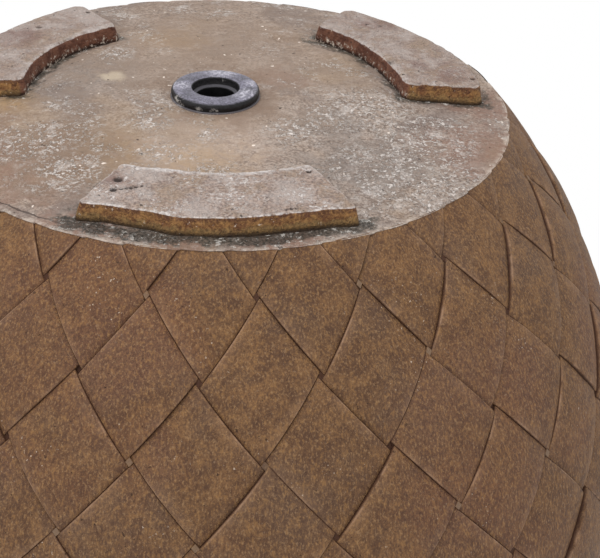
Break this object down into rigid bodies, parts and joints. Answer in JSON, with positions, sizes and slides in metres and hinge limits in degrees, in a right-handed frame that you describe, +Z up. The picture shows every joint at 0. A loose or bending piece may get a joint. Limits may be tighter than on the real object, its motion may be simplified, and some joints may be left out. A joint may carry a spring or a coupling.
{
  "type": "garden pot",
  "caption": "Round bulging cast garden pot with a plaited basket-weave wall, arc-shaped foot pads and a rubber-sealed pipe hole in its base.",
  "frame": {"origin": "on the ground under the pot's axis, in the plane that the three foot pads stand on", "axes": "+Z up along the pot's axis, -Y towards the front foot pad, +X to the right seen from the front"},
  "size_m": [0.4208, 0.4208, 0.3906],
  "materials": {
    "cast_wall": "matte",
    "trowelled_base": "matte, dusty",
    "foot_pads": "matte",
    "grommet_rubber": "satin, dusty"
  },
  "bodies": {
    "root": {"woven_shell": "cast_wall", "base_slab": "trowelled_base", "foot_pad_front": "foot_pads", "foot_pad_left": "foot_pads", "foot_pad_right": "foot_pads", "pipe_grommet": "grommet_rubber"}
  },
  "joints": []
}
